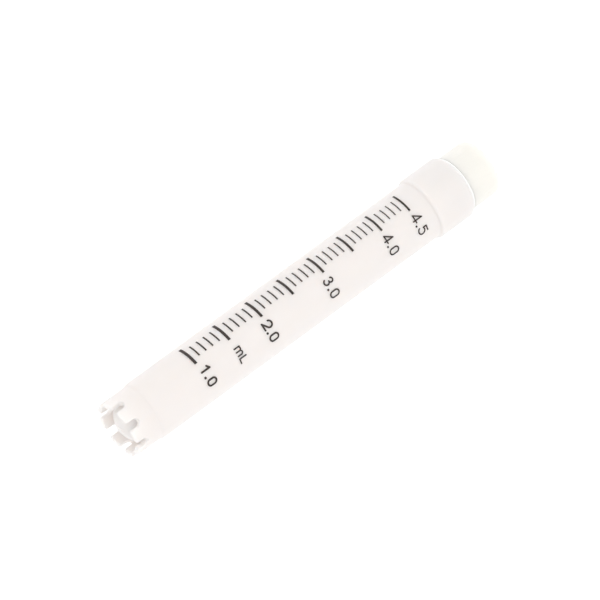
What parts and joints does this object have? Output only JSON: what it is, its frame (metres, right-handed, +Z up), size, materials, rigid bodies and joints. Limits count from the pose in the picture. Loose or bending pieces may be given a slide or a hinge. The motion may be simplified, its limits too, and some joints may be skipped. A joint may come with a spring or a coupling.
{
  "type": "self-standing screw-cap vial",
  "caption": "Round-bottomed plastic vial with a toothed foot, a printed volume scale, a collared neck and a screw cap that seals with a ring.",
  "frame": {"origin": "centre of the circle that the foot's teeth stand on", "axes": "+Z up the vial's axis towards the cap; the scale is printed on the -Y side"},
  "size_m": [0.0136, 0.0134, 0.0935],
  "materials": {
    "vial_plastic": "milky natural polypropylene, as moulded",
    "cap_plastic": "natural polypropylene, fine moulded satin",
    "seal_silicone": "translucent silicone",
    "scale_ink": "matt printed ink"
  },
  "bodies": {
    "vial": {"vial_body": "vial_plastic", "scale_long_marks": "scale_ink", "scale_short_ticks": "scale_ink", "scale_numerals": "scale_ink"},
    "seal": {"seal_ring": "seal_silicone"},
    "cap": {"screw_cap": "cap_plastic"}
  },
  "joints": [
    {"name": "cap_lift", "type": "slide", "parent": "vial", "child": "seal", "axis": [0, 0, 1], "range_m": [0, 0.009]},
    {"name": "cap_turn", "type": "hinge", "parent": "seal", "child": "cap", "pos_m": [0, 0, 0.09], "axis": [0, 0, 1], "range_deg": [0, 1080]}
  ],
  "couplings": [
    {"joint": "cap_turn", "follows": "cap_lift", "rad_per_m": 2094.4}
  ]
}
